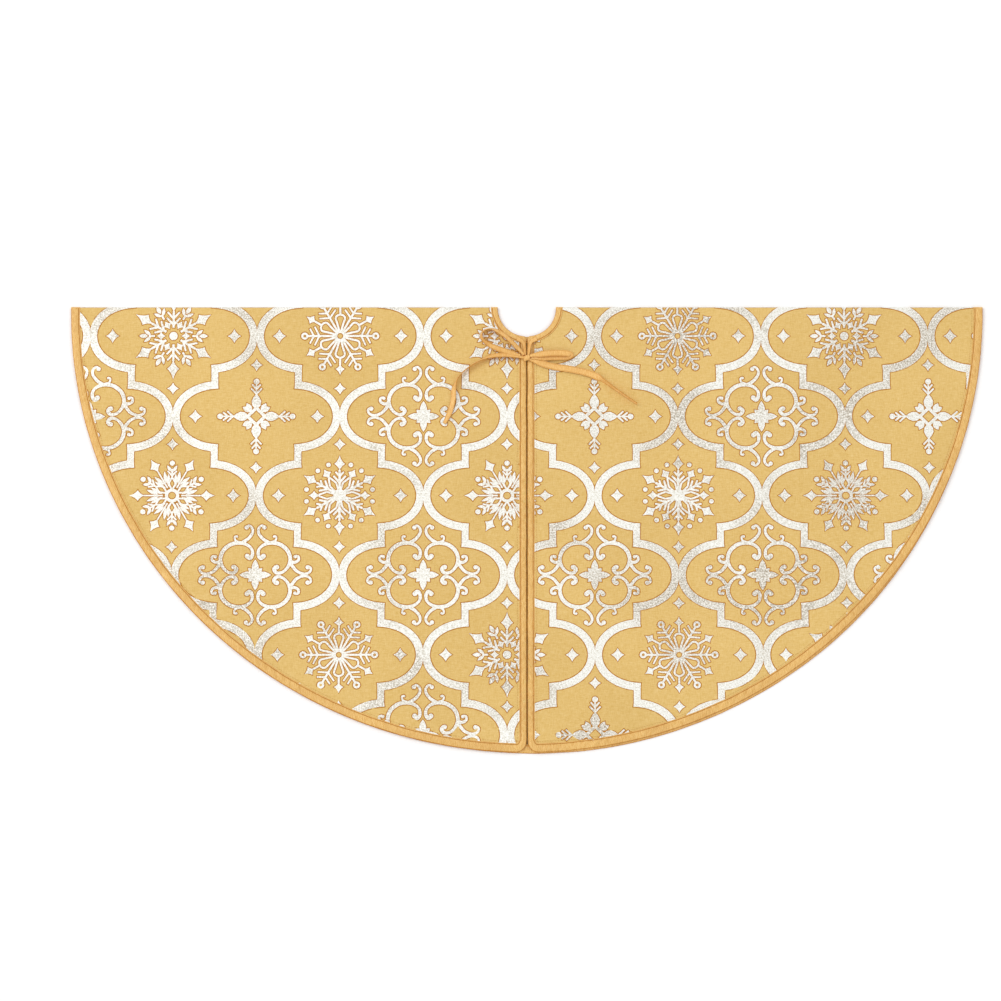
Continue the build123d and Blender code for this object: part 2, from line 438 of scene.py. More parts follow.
# ---- materials
class Nodes:
    """Short calls for building one material's node tree."""

    def __init__(self, name):
        self.material = bpy.data.materials.new(name)
        self.material.use_nodes = True
        self.tree = self.material.node_tree
        self.shader = self.tree.nodes["Principled BSDF"]
        self.place = self.add("ShaderNodeTexCoord").outputs["Object"]

    def add(self, kind, **values):
        node = self.tree.nodes.new(kind)
        for key, value in values.items():
            setattr(node, key, value)
        return node

    def link(self, output, socket):
        self.tree.links.new(output, socket)

    def mapped(self, scale, turn=0.0):
        mapping = self.add("ShaderNodeMapping")
        mapping.inputs["Scale"].default_value = scale
        mapping.inputs["Rotation"].default_value = (0, 0, turn)
        self.link(self.place, mapping.inputs["Vector"])
        return mapping.outputs["Vector"]

    def noise(self, scale, detail=2.0, stretch=(1, 1, 1), turn=0.0, roughness=0.5):
        node = self.add("ShaderNodeTexNoise")
        node.inputs["Scale"].default_value = scale
        node.inputs["Detail"].default_value = detail
        node.inputs["Roughness"].default_value = roughness
        self.link(self.mapped(stretch, turn), node.inputs["Vector"])
        return node.outputs["Fac"]

    def wave(self, scale, turn, distortion=0.0):
        node = self.add("ShaderNodeTexWave", wave_type="BANDS", bands_direction="X")
        node.inputs["Scale"].default_value = scale
        node.inputs["Distortion"].default_value = distortion
        node.inputs["Detail"].default_value = 1.0
        self.link(self.mapped((1, 1, 1), turn), node.inputs["Vector"])
        return node.outputs["Fac"]

    def ramp(self, value, stops):
        node = self.add("ShaderNodeValToRGB")
        elements = node.color_ramp.elements
        while len(elements) < len(stops):
            elements.new(0.5)
        for element, (position, colour) in zip(elements, stops):
            element.position = position
            element.color = (*colour, 1)
        self.link(value, node.inputs["Fac"])
        return node.outputs["Color"]

    def feed(self, socket, value):
        """Gives a socket a number or links another node's output to it."""
        if isinstance(value, bpy.types.NodeSocket):
            self.link(value, socket)
        else:
            socket.default_value = value

    def mix(self, factor, a, b, blend="MIX"):
        node = self.add("ShaderNodeMix", data_type="RGBA", blend_type=blend)
        for index, value in ((0, factor), (6, a), (7, b)):
            self.feed(node.inputs[index], value)
        return node.outputs[2]

    def math(self, operation, a, b):
        node = self.add("ShaderNodeMath", operation=operation)
        self.feed(node.inputs[0], a)
        self.feed(node.inputs[1], b)
        return node.outputs[0]

    def weighted(self, a, share_a, b, share_b):
        return self.math("ADD", self.math("MULTIPLY", a, share_a), self.math("MULTIPLY", b, share_b))

    def span(self, value, low, high):
        node = self.add("ShaderNodeMapRange")
        node.inputs["To Min"].default_value = low
        node.inputs["To Max"].default_value = high
        self.link(value, node.inputs["Value"])
        return node.outputs["Result"]

    def bump(self, height, strength, distance, under=None):
        node = self.add("ShaderNodeBump")
        node.inputs["Strength"].default_value = strength
        node.inputs["Distance"].default_value = distance
        self.link(height, node.inputs["Height"])
        if under:
            self.link(under, node.inputs["Normal"])
        return node.outputs["Normal"]

    def finish(self, colour, roughness, normal, **constants):
        self.link(colour, self.shader.inputs["Base Color"])
        self.link(roughness, self.shader.inputs["Roughness"])
        self.link(normal, self.shader.inputs["Normal"])
        for name, value in constants.items():
            self.shader.inputs[name.replace("_", " ")].default_value = value
        return self.material


def woven(name, base, dark, pale, thread, slub, sheen, wrinkle=0.1):
    """Plain-woven cloth: crossing threads, uneven slubs, soft wrinkles and a slow drift of colour."""
    m = Nodes(name)
    across = m.noise(1.0, 3.0, (slub[0], slub[1], 40), 0.0, 0.62)
    down = m.noise(1.0, 3.0, (slub[1], slub[0], 40), 0.0, 0.62)
    slubs = m.weighted(across, 0.55, down, 0.45)
    weft = m.wave(thread, 0.0, 0.6)
    warp = m.wave(thread * 1.07, math.pi / 2, 0.6)
    weave = m.math("MAXIMUM", weft, warp)
    threads = m.weighted(slubs, 0.75, weave, 0.25)
    tone = m.ramp(threads, [(0.30, dark), (0.52, base), (0.74, pale)])
    drift = m.ramp(m.noise(5.5, 2.0), [(0.35, (0.94, 0.93, 0.90)), (0.65, (1.0, 1.0, 1.0))])
    colour = m.mix(1.0, tone, drift, "MULTIPLY")
    wrinkles = m.bump(m.noise(11.0, 4.0, roughness=0.6), wrinkle, 0.012)
    normal = m.bump(threads, 0.55, 0.0003, wrinkles)
    roughness = m.span(slubs, 0.62, 0.85)
    return m.finish(
        colour, roughness, normal, Sheen_Weight=sheen, Sheen_Roughness=0.45, Specular_IOR_Level=0.3
    )


def foil():
    """Metallic foil print: bright and finely crackled, with worn patches in grey and champagne."""
    m = Nodes("foil_print")
    grain = m.noise(520.0, 2.0, roughness=0.75)
    flecks = m.noise(260.0, 3.0, roughness=0.7)
    patches = m.noise(6.5, 2.0, roughness=0.55)
    bright = m.ramp(grain, [(0.34, (0.66, 0.61, 0.50)), (0.48, (0.90, 0.89, 0.82)), (0.62, (1, 1, 0.96))])
    worn = m.ramp(grain, [(0.38, (0.22, 0.17, 0.11)), (0.5, (0.58, 0.5, 0.38)), (0.62, (0.98, 0.95, 0.88))])
    age = m.ramp(patches, [(0.46, (0, 0, 0)), (0.62, (1, 1, 1))])
    fleck = m.ramp(flecks, [(0.50, (0, 0, 0)), (0.62, (1, 1, 1))])
    share = m.weighted(age, 0.62, fleck, 0.30)
    colour = m.mix(share, bright, worn)
    normal = m.bump(grain, 0.45, 0.0003)
    roughness = m.span(flecks, 0.30, 0.62)
    return m.finish(colour, roughness, normal, Metallic=0.55, Specular_IOR_Level=0.5)


def tape(name, base, dark, pale, slant):
    """Satin-woven bias tape: fine slanting ribs, soft shine, slightly worn tone."""
    m = Nodes(name)
    ribs = m.wave(620.0, slant, 0.8)
    streak = m.noise(1.0, 3.0, (900, 160, 160), slant, 0.6)
    cloudy = m.noise(26.0, 3.0)
    fine = m.weighted(ribs, 0.3, streak, 0.7)
    tone = m.ramp(fine, [(0.28, dark), (0.50, base), (0.72, pale)])
    drift = m.ramp(cloudy, [(0.35, (0.93, 0.90, 0.86)), (0.62, (1.0, 1.0, 1.0))])
    colour = m.mix(1.0, tone, drift, "MULTIPLY")
    normal = m.bump(fine, 0.5, 0.0002)
    roughness = m.span(streak, 0.36, 0.56)
    return m.finish(colour, roughness, normal, Sheen_Weight=0.15, Specular_IOR_Level=0.45)


def thread():
    """Twisted sewing thread."""
    m = Nodes("sewing_thread")
    twist = m.wave(1500.0, 0.8, 0.4)
    fuzz = m.noise(1200.0, 2.0)
    colour = m.ramp(fuzz, [(0.3, (0.42, 0.18, 0.022)), (0.7, (0.60, 0.31, 0.06))])
    return m.finish(colour, m.span(fuzz, 0.45, 0.7), m.bump(twist, 0.4, 0.0001), Sheen_Weight=0.2)


def paper_white():
    """The plain pale floor."""
    m = Nodes("floor_white")
    tone = m.ramp(m.noise(3.0, 2.0), [(0.3, (0.965, 0.965, 0.965)), (0.7, (0.975, 0.975, 0.975))])
    return m.finish(tone, m.span(m.noise(8.0), 0.85, 0.95), m.bump(m.noise(300.0), 0.02, 0.0001))


CLOTH = woven(
    "printed_cloth", (0.735, 0.482, 0.146), (0.55, 0.335, 0.072), (0.85, 0.62, 0.275),
    thread=560.0, slub=(130, 900), sheen=0.10,
)
WORN_CLOTH = woven(
    "worn_cloth", (0.50, 0.34, 0.155), (0.38, 0.25, 0.10), (0.62, 0.45, 0.24),
    thread=560.0, slub=(130, 900), sheen=0.0,
)
LINING = woven(
    "lining_cloth", (0.37, 0.225, 0.078), (0.23, 0.125, 0.036), (0.52, 0.34, 0.14),
    thread=900.0, slub=(160, 1100), sheen=0.06, wrinkle=0.5,
)
PRESSED_RIM = woven(
    "pressed_rim", (0.47, 0.190, 0.014), (0.38, 0.140, 0.010), (0.55, 0.24, 0.025),
    thread=560.0, slub=(130, 900), sheen=0.0,
)
FOIL_PRINT = foil()
TAPE = tape("edge_tape", (0.80, 0.47, 0.125), (0.60, 0.30, 0.055), (0.93, 0.65, 0.27), 0.7)
TAPE_CREASE = tape("tape_crease", (0.58, 0.235, 0.014), (0.41, 0.145, 0.008), (0.72, 0.345, 0.045), 0.7)
TIE = tape("tie_tape", (0.85, 0.475, 0.125), (0.66, 0.315, 0.055), (0.95, 0.63, 0.26), 0.2)
THREAD = thread()


# ---- camera, light and floor
def camera():
    """A long lens looking down on the skirt from the front."""
    distance = 12.0
    elevation = math.radians(75.3)
    target = Vector((-0.0352, -0.2658, 0.003))
    data = bpy.data.cameras.new("camera")
    data.sensor_width = 36.0
    data.lens = 324.2
    data.clip_end = 100.0
    eye = bpy.data.objects.new("camera", data)
    eye.location = target + distance * Vector((0, -math.cos(elevation), math.sin(elevation)))
    eye.rotation_euler = (math.pi / 2 - elevation, 0, 0)
    bpy.context.scene.collection.objects.link(eye)
    bpy.context.scene.camera = eye


def studio():
    """White surroundings, one large soft lamp above the left and a plain floor."""
    world = bpy.data.worlds.new("studio")
    world.use_nodes = True
    world.node_tree.nodes["Background"].inputs["Color"].default_value = (1.0, 1.0, 1.0, 1)
    world.node_tree.nodes["Background"].inputs["Strength"].default_value = 0.86
    bpy.context.scene.world = world
    for name, place, size, power in (
        ("key", (-2.6, 1.0, 3.4), 2.2, 52.0),
        ("fill", (1.8, -1.6, 2.4), 2.0, 8.0),
    ):
        lamp = bpy.data.lights.new(name, "AREA")
        lamp.size = size
        lamp.energy = power
        light = bpy.data.objects.new(name, lamp)
        light.location = place
        light.rotation_euler = (Vector((0, -0.3, 0)) - Vector(place)).to_track_quat("-Z", "Y").to_euler()
        bpy.context.scene.collection.objects.link(light)
    mesh = bpy.data.meshes.new("floor")
    half = 20.0
    corners = [(-half, -half, 0), (half, -half, 0), (half, half, 0), (-half, half, 0)]
    mesh.from_pydata(corners, [], [(0, 1, 2, 3)])
    mesh.materials.append(paper_white())
    floor = bpy.data.objects.new("floor", mesh)
    bpy.context.scene.collection.objects.link(floor)
    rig.stage(floor)
    bpy.context.scene.view_settings.view_transform = "Standard"


camera()
studio()


# ---- printed cloth and lining
def inside_half(x, y):
    """Whether a plan point is well inside the folded skirt and clear of the slit."""
    radius = math.hypot(x, y)
    return NECK_RADIUS + EDGE_CLEAR < radius < SKIRT_RADIUS - EDGE_CLEAR and abs(x) > EDGE_CLEAR


def mesh_points(side):
    """Staggered points over one quarter, for the cloth and its print to share."""
    points = []
    rows = FOLD_ROWS + list(np.arange(FOLD_ROWS[-1], SKIRT_RADIUS, GRID * 0.87))[1:]
    for row, depth in enumerate(rows):
        jitter = min(1.0, depth / 20)
        for column in range(round(SKIRT_RADIUS / GRID)):
            x = side * (column + 0.5 * (row % 2)) * GRID
            if inside_half(x, -depth):
                points.append((x + shuffle.uniform(-1, 1), shuffle.uniform(-jitter, jitter) - depth))
    return points


MESH_POINTS = {side: mesh_points(side) for side in SIDE_NAME}


def front_cloth(side):
    """The face and lining of one front quarter, and the corner of it that turns back."""
    name = SIDE_NAME[side]
    outline = quarter_outline(side, EDGE_PLAY, OUTLINE_STEP)
    plan, triangles = triangulate([outline], None, MESH_POINTS[side], hinge_cuts(side))
    top, bottom = level(FACE_TOP, lift), level(FACE_BOTTOM + LAYER_GAP, lift)
    face = thin_solid(f"{name}_face_cloth", plan, triangles, top, bottom, CLOTH, "printed_cloth")
    top, bottom = level(FACE_BOTTOM - LAYER_GAP, lift), level(LINING_BOTTOM, lift)
    lining = thin_solid(f"{name}_lining_cloth", plan, triangles, top, bottom, LINING, "lining_cloth")
    radius = SKIRT_RADIUS * MM
    for piece, node in ((face, "face"), (lining, "lining")):
        turn_with_corner(piece, side)
        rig.replaces(piece, f"{name}_front_{node}", f"{name}_corner_{node}")
        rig.sheet(piece, (radius, radius), "folded", ["back_face_cloth"], math.pi * radius**2 / 4)


def half_outline(inset, step):
    """The outline of the back half, anticlockwise in plan."""
    outline = arc((0, 0), SKIRT_RADIUS - inset, 180, 360, step)
    outline += arc((0, 0), NECK_RADIUS + inset, 360, 180, step / 2)
    return outline


def back_cloth():
    """The back half, printed side down."""
    points = MESH_POINTS[LEFT] + MESH_POINTS[RIGHT]
    plan, triangles = triangulate([half_outline(EDGE_PLAY, OUTLINE_STEP)], None, points)
    top, bottom = level(BACK_FACE_TOP - LAYER_GAP, back_lift), level(BACK_FACE_BOTTOM, back_lift)
    face = thin_solid("back_face_cloth", plan, triangles, top, bottom, CLOTH, "printed_cloth")
    top, bottom = level(BACK_LINING_TOP, back_lift), level(BACK_FACE_TOP + LAYER_GAP, back_lift)
    lining = thin_solid("back_lining_cloth", plan, triangles, top, bottom, LINING, "lining_cloth")
    radius = SKIRT_RADIUS * MM
    for piece, node in ((face, "back_face"), (lining, "back_lining")):
        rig.ride(piece, "back_half")
        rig.replaces(piece, node)
        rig.sheet(piece, (2 * radius, radius), "folded", ["floor"], math.pi * radius**2 / 2)


def roll(name, stretches, inner, outer, material, slot):
    """The half turn that a layer makes round the fold, over each stretch of the fold."""
    points = []
    faces = []
    turns = 12
    angles = [math.pi * k / turns for k in range(turns + 1)]
    section = [(outer, angle) for angle in angles] + [(inner, angle) for angle in reversed(angles)]
    ring = len(section)
    for start, end in stretches:
        count = max(2, round(abs(end - start) / 4))
        first = len(points)
        for x in np.linspace(start, end, count + 1):
            points += [(x, radius * math.sin(a), FOLD_Z + radius * math.cos(a)) for radius, a in section]
        faces += ring_faces(count + 1, ring, first)
        for low in (first, first + count * ring):
            high = low + ring - 1
            faces += [[low + k, low + k + 1, high - k - 1, high - k] for k in range(turns)]
    piece = piece_from(name, points, faces, material, slot)
    turn_with_fold(piece)
    return piece


def crease(piece, material, low, high):
    """Gives the faces of a roll between two heights, in mm, the look of worn cloth."""
    piece.data.materials.append(material)
    for face in piece.data.polygons:
        if low < face.center.z / MM < high:
            face.material_index = 1


def darken_strips(piece, sides, count, strips):
    """Gives some of the strips that run along a sweep the look of creased tape."""
    piece.data.materials.append(TAPE_CREASE)
    for face in piece.data.polygons:
        if face.index < sides and face.index % count in strips:
            face.material_index = 1


def fold_rolls():
    """Face, lining and tape where they turn round the fold."""
    cloth_end = SKIRT_RADIUS - EDGE_PLAY
    cloth_start = NECK_RADIUS + EDGE_PLAY
    both = [(cloth_start, cloth_end), (-cloth_end, -cloth_start)]
    face_outer = FACE_TOP - FOLD_Z
    face_inner = FACE_BOTTOM - FOLD_Z
    face = roll("fold_face_cloth", both, face_inner + LAYER_GAP, face_outer, CLOTH, "printed_cloth")
    crease(face, WORN_CLOTH, FOLD_Z - 0.5 * face_outer, FOLD_Z + 0.8 * face_outer)
    roll("fold_lining_cloth", both, LINING_BOTTOM - FOLD_Z, face_inner - LAYER_GAP, LINING, "lining_cloth")
    ends = [
        (SKIRT_RADIUS - HEM_TAPE, SKIRT_RADIUS),
        (NECK_RADIUS, NECK_RADIUS + NECK_TAPE),
        (-SKIRT_RADIUS, HEM_TAPE - SKIRT_RADIUS),
        (-NECK_RADIUS - NECK_TAPE, -NECK_RADIUS),
    ]
    roll("fold_tape", ends, TAPE_BOTTOM - FOLD_Z, TAPE_TOP - FOLD_Z + 0.1, TAPE, "edge_tape")


front_cloth(LEFT)
front_cloth(RIGHT)
back_cloth()
fold_rolls()


# ---- foil print: drawing tools
UNIT = 1.345             # the print's drawing unit, in mm


def facing_up(polygon):
    """The polygon, anticlockwise."""
    area = sum(a[0] * b[1] - b[0] * a[1] for a, b in zip(polygon, polygon[1:] + polygon[:1]))
    return polygon if area > 0 else polygon[::-1]


def grown(polygon, margin):
    """An anticlockwise polygon with every side moved out by the margin."""
    result = []
    for before, here, after in zip(polygon[-1:] + polygon[:-1], polygon, polygon[1:] + polygon[:1]):
        (ax, ay), (bx, by) = (
            ((q[1] - p[1]) / math.dist(p, q), (p[0] - q[0]) / math.dist(p, q))
            for p, q in ((before, here), (here, after))
        )
        reach = margin / max(0.7, 1 + ax * bx + ay * by)
        result.append((here[0] + (ax + bx) * reach, here[1] + (ay + by) * reach))
    return result


def hull(points):
    """The smallest polygon without hollows round some points, anticlockwise. Empty if it is a sliver."""
    def chain(ordered):
        line = []
        for p in ordered:
            while len(line) > 1 and turn(line[-2], line[-1], p) <= 1e-6:
                line.pop()
            line.append(p)
        return line[:-1]

    def turn(a, b, c):
        return (b[0] - a[0]) * (c[1] - a[1]) - (b[1] - a[1]) * (c[0] - a[0])

    ordered = sorted(set(points))
    polygon = chain(ordered) + chain(ordered[::-1])
    return polygon if len(polygon) > 2 else []


def disc(x, y, radius, count=10):
    """A round dot."""
    angles = [math.tau * i / count for i in range(count)]
    return [(x + radius * math.cos(a), y + radius * math.sin(a)) for a in angles]


def ring(x, y, outer, inner, count=12):
    """A flat ring, as a loop of four-sided pieces."""
    pieces = []
    for i in range(count):
        a, b = math.tau * i / count, math.tau * (i + 1) / count
        pieces.append([(x + r * math.cos(t), y + r * math.sin(t))
                       for r, t in ((inner, a), (outer, a), (outer, b), (inner, b))])
    return pieces


def bar(start, end, width, end_width=None):
    """A straight stroke that may taper."""
    end_width = width if end_width is None else end_width
    dx, dy = end[0] - start[0], end[1] - start[1]
    length = math.hypot(dx, dy)
    nx, ny = -dy / length / 2, dx / length / 2
    corners = ((start, -width), (end, -end_width), (end, end_width), (start, width))
    return [(x + nx * across, y + ny * across) for (x, y), across in corners]


def smooth_line(points, per_run):
    """A smooth line through some points, with so many steps from each to the next."""
    padded = [points[0]] + list(points) + [points[-1]]
    line = []
    for p0, p1, p2, p3 in zip(padded, padded[1:], padded[2:], padded[3:]):
        for i in range(per_run):
            t = i / per_run
            line.append(tuple(
                0.5 * (2 * b + (c - a) * t + (2 * a - 5 * b + 4 * c - d) * t * t
                       + (3 * b - a - 3 * c + d) * t**3)
                for a, b, c, d in zip(p0, p1, p2, p3)
            ))
    line.append(tuple(points[-1]))
    return line


def stroke(line, width_at):
    """A stroke along a line, as four-sided pieces. width_at takes 0 to 1 along it."""
    sides = []
    for i, (x, y) in enumerate(line):
        ax, ay = line[max(i - 1, 0)]
        bx, by = line[min(i + 1, len(line) - 1)]
        length = math.hypot(bx - ax, by - ay)
        half = width_at(i / (len(line) - 1)) / 2
        nx, ny = -(by - ay) / length * half, (bx - ax) / length * half
        sides.append(((x - nx, y - ny), (x + nx, y + ny)))
    return [hull([*a, *b]) for a, b in zip(sides, sides[1:])]


def leaf(x, y, angle, length, width):
    """A pointed leaf from a point, along an angle in degrees."""
    shape = [(0, 0), (0.3, 0.44), (0.55, 0.5), (0.8, 0.3), (1, 0), (0.8, -0.3), (0.55, -0.5), (0.3, -0.44)]
    return turned([[(length * u, width * v) for u, v in shape]], angle, (x, y))[0]


def sparkle(x, y, reach, half_width, back=None):
    """A star of four points with hollow sides. back is the reach the other way."""
    back = reach if back is None else back
    tips = [(reach, 0), (0, half_width), (-back, 0), (0, -half_width)]
    shape = []
    for a, b in zip(tips, tips[1:] + tips[:1]):
        middle = (0.30 * (a[0] + b[0]), 0.30 * (a[1] + b[1]))
        for t in (0.0, 0.25, 0.5, 0.75):
            shape.append(tuple(
                (1 - t) ** 2 * p + 2 * t * (1 - t) * q + t * t * r for p, q, r in zip(a, middle, b)
            ))
    return [(x + p, y + q) for p, q in shape]


def turned(shapes, angle, move=(0.0, 0.0)):
    """Shapes turned about the origin by degrees, then moved."""
    c, s = math.cos(math.radians(angle)), math.sin(math.radians(angle))
    return [[(x * c - y * s + move[0], x * s + y * c + move[1]) for x, y in shape] for shape in shapes]


def flipped(shapes, sx, sy):
    """Shapes mirrored where a sign is -1. The corners' order isn't kept."""
    return [[(x * sx, y * sy) for x, y in shape] for shape in shapes]


def sixfold(arm, start=0.0):
    """The arm, drawn along +X, repeated six times round."""
    return [shape for k in range(6) for shape in turned(arm, start + 60 * k)]


def chevron(r, length, spread, width):
    """A pair of barbs that leave the arm at r."""
    c, s = math.cos(math.radians(spread)) * length, math.sin(math.radians(spread)) * length
    return [bar((r, 0), (r + c, s), width, width * 0.8), bar((r, 0), (r + c, -s), width, width * 0.8)]


# ---- foil print: the motifs
def frame_sparkles():
    """The small stars between a snowflake and its frame."""
    sides = [sparkle(60.5 * s, 0, 6.6, 6.9) for s in (1, -1)]
    return sides + [sparkle(0, 52.5 * s, 5.9, 6.1) for s in (1, -1)]


def snowflake_dot():
    """A snowflake round a dot, with small diamonds, palmettes and long star tips."""
    short = [sparkle(12.3, 0, 4.6, 4.2), bar((18.6, 0), (24.5, 0), 2.0), leaf(25.4, 0, 0, 8.8, 4.4)]
    short += [leaf(22.4, 0.8, 37, 8.6, 3.4), leaf(22.4, -0.8, -37, 8.6, 3.4)]
    point = [bar((8.2, 0), (25, 0), 2.3), sparkle(32.4, 0, 10.9, 6.0, 8.6)]
    point += chevron(11.2, 9.6, 44, 2.3) + chevron(17.4, 9.0, 42, 2.3)
    return [disc(0, 0, 4.2, 14)] + sixfold(short) + sixfold(point, 30)


def snowflake_spokes(steps):
    """A snowflake of twelve thin spokes with ringed tips and open kites."""
    spoke = [bar((4.4, 0), (32.6, 0), 2.1)] + ring(35.3, 0, 3.6, 1.4)
    spoke += chevron(20.8, 10.4, 64, 2.0) + chevron(26.2, 8.4, 62, 2.0)
    side = smooth_line([(5.0, 1.0), (12.0, 2.9), (17.6, 4.6), (20.4, 3.2), (21.6, 0.0)], steps)
    kite = stroke(side, lambda t: 2.0)
    kite += flipped(kite, 1, -1)
    kite += [bar((21.0, 0), (29.0, 0), 2.1), sparkle(32.6, 0, 6.2, 4.7, 4.6)]
    return ring(0, 0, 5.6, 3.0, 12) + sixfold(spoke) + sixfold(kite, 30)


def snowflake_feather():
    """A snowflake round a ring, with star tips and dense feathered arms."""
    point = [bar((9.0, 0), (28, 0), 1.5), sparkle(33.8, 0, 8.6, 5.5, 6.4)]
    for r, y, spread, length in ((9.5, 1.4, 30, 13.5), (13.4, 1.0, 22, 13.0)):
        point += [leaf(r, y, spread, length, 3.5), leaf(r, -y, -spread, length, 3.5)]
    feather = [bar((5.6, 0), (12.6, 3.6), 1.8), bar((12.6, 3.6), (18.6, 0), 1.8)]
    feather += flipped(feather, 1, -1) + [bar((18.0, 0), (27.4, 0), 1.8), disc(33.2, 0, 2.7)]
    feather += chevron(20.4, 6.6, 44, 1.9)
    feather += [leaf(24.4, 1.0, 31, 7.6, 3.2), leaf(24.4, -1.0, -31, 7.6, 3.2)]
    return ring(0, 0, 7.2, 4.0, 12) + sixfold(point) + sixfold(feather, 30)


def snowflake_dots():
    """A snowflake round a solid centre, with star tips, hollow petals and a ring of dots."""
    point = [bar((5, 0), (26, 0), 2.3), sparkle(32.2, 0, 9.0, 5.4, 6.8)]
    point += chevron(13.2, 9.2, 42, 2.4) + chevron(19.6, 6.2, 42, 2.2)
    petal = [bar((5.4, 1.6), (12.6, 3.6), 1.9), bar((12.6, 3.6), (20.6, 0.6), 1.9)]
    petal += flipped(petal, 1, -1) + [sparkle(25.2, 0, 5.6, 4.7, 6.0)]
    for angle in (10.5, -10.5):
        turn = math.radians(angle)
        petal.append(disc(33.2 * math.cos(turn), 33.2 * math.sin(turn), 2.4))
    return [disc(0, 0, 6.4, 12)] + sixfold(point, 30) + sixfold(petal)


def flower():
    """Four pointed petals round an open diamond, with a sprig beyond each."""
    petal = [leaf(6.4, 0, 0, 16.8, 9.6), bar((8.6, 0), (0, 8.6), 3.2)]
    petal += [leaf(5.0, 5.0, 28, 9.8, 5.6), leaf(5.0, 5.0, 62, 9.8, 5.6), leaf(4.6, 4.6, 45, 8.0, 6.0)]
    petal += [bar((22.5, 0), (33, 0), 1.5), disc(35.9, 0, 3.0)]
    petal += chevron(23.2, 7.8, 44, 2.1) + chevron(28.0, 6.6, 40, 2.1)
    return [shape for k in range(4) for shape in turned(petal, 90 * k)]


def scroll(steps):
    """A medallion of curling scrolls round a flower of eight petals."""
    def swelling(t):
        return 2.7 + 1.3 * abs(math.cos(math.tau * t))

    def fading(t):
        return 3.5 - 1.5 * t

    big = [(8.0, 18.6), (5.2, 17.0), (2.9, 20.6), (3.6, 26.2), (8.2, 30.6), (15.0, 32.6), (24.0, 31.2),
           (31.6, 25.0), (34.5, 16.4), (32.4, 8.6), (27.2, 3.0), (21.4, 2.0), (18.6, 5.6), (21.0, 8.6)]
    side = [(34.4, 12.4), (37.2, 8.2), (41.6, 3.4), (48.4, 1.0), (53.6, 2.8), (55.0, 6.8), (52.0, 9.0)]
    curl = [(34.6, 13.6), (38.8, 12.8), (42.6, 15.0), (42.6, 18.6), (39.6, 19.6)]
    crest = [(13.0, 33.0), (7.6, 36.6), (3.4, 42.0), (3.0, 47.0), (6.2, 50.4), (9.0, 49.0)]
    twig = [(14.6, 33.2), (19.4, 34.8), (20.6, 38.6), (18.4, 40.0)]
    quarter = stroke(smooth_line(big, steps), swelling) + stroke(smooth_line(side, steps), fading)
    quarter += stroke(smooth_line(curl, steps), fading) + stroke(smooth_line(crest, steps), fading)
    quarter += stroke(smooth_line(twig, steps), lambda t: 2.4 - 0.8 * t)
    for x, y, radius in ((8.0, 19.2, 2.5), (21.4, 8.0, 2.4), (51.8, 7.8, 2.3), (39.4, 18.6, 1.8),
                         (8.8, 48.4, 2.2), (18.4, 39.2, 1.3)):
        quarter.append(disc(x, y, radius))
    shapes = [s for sx in (1, -1) for sy in (1, -1) for s in flipped(quarter, sx, sy)]
    shapes += [leaf(0, 0, 90 * k, 15.8, 7.0) for k in range(4)]
    shapes += [leaf(0, 0, 45 + 90 * k, 9.8, 5.4) for k in range(4)]
    return shapes + [disc(0, 0, 3.6)]


# ---- foil print: the lattice
COLUMN = 223.0           # between cells of a row, in mm
ROW = 109.1              # between rows
FIRST_CELL = (-249.5, -41.0)
CELL_REACH = (90, 80)    # how far a cell's shapes may reach from its centre, sideways and along
RIGHT_SHIFT = 5.0        # how much further right the print lies on the right side
FOLD_DRAW = 3.4          # how far the fold draws the first row of the print towards itself
LOBE_STROKE = 7.8        # widths of the frame's round and straight strokes, in drawing units
STEP_STROKE = 6.8
LOBE_START = 34.0        # of the lobe's oval, from the cell's centre, in drawing units
LOBE_HALF_HEIGHT = 32.6


def frame_lines(steps):
    """The strokes of one cell's frame that are its own, in drawing units."""
    half_column = COLUMN / 2 / UNIT
    half_row = ROW / UNIT
    step_x = half_column / 2
    reach = half_column - LOBE_STROKE / 2 + 0.9 - LOBE_START
    pieces = []
    end = math.acos(((step_x - STEP_STROKE / 2 - LOBE_START) / reach) ** (1 / 0.9))
    line = []
    for k in range(-2 * steps, 2 * steps + 1):
        angle = end * k / (2 * steps)
        x = LOBE_START + reach * max(math.cos(angle), 0.0) ** 0.9
        line.append((x, LOBE_HALF_HEIGHT * math.sin(angle)))
    lobe = [[(min(x, half_column), y) for x, y in shape] for shape in stroke(line, lambda t: LOBE_STROKE)]
    lobe = [hull(shape) for shape in lobe if hull(shape)]
    low = LOBE_HALF_HEIGHT - LOBE_STROKE / 2
    for sx in (1, -1):
        pieces += flipped(lobe, sx, 1)
        pieces.append(bar((sx * step_x, low), (sx * step_x, half_row - low), STEP_STROKE))
    return pieces


def cell_motif(row, column):
    """Which motif a cell holds: the design repeats over four rows and two columns."""
    if row % 4 == 1:
        return "spokes" if column % 2 == 0 else "dot"
    if row % 4 == 2:
        return "scroll" if column % 2 == 0 else "flower"
    if row % 4 == 3:
        return "dots" if column % 2 == 0 else "feather"
    return "scroll"


def pattern(steps):
    """Each kind of cell's shapes, with curves in so many steps a run."""
    cells = {
        "dot": snowflake_dot() + frame_sparkles(),
        "spokes": snowflake_spokes(steps) + frame_sparkles(),
        "feather": snowflake_feather() + frame_sparkles(),
        "dots": snowflake_dots() + frame_sparkles(),
        "flower": flower() + frame_sparkles(),
        "scroll": scroll(steps),
    }
    return {name: frame_lines(steps) + shapes for name, shapes in cells.items()}


FOIL_PATTERN = pattern(6)
RIM_PATTERN = pattern(3)


def front_shift(x):
    """How far the print lies to the right on either side of the slit."""
    return RIGHT_SHIFT if x > 0 else 0.0


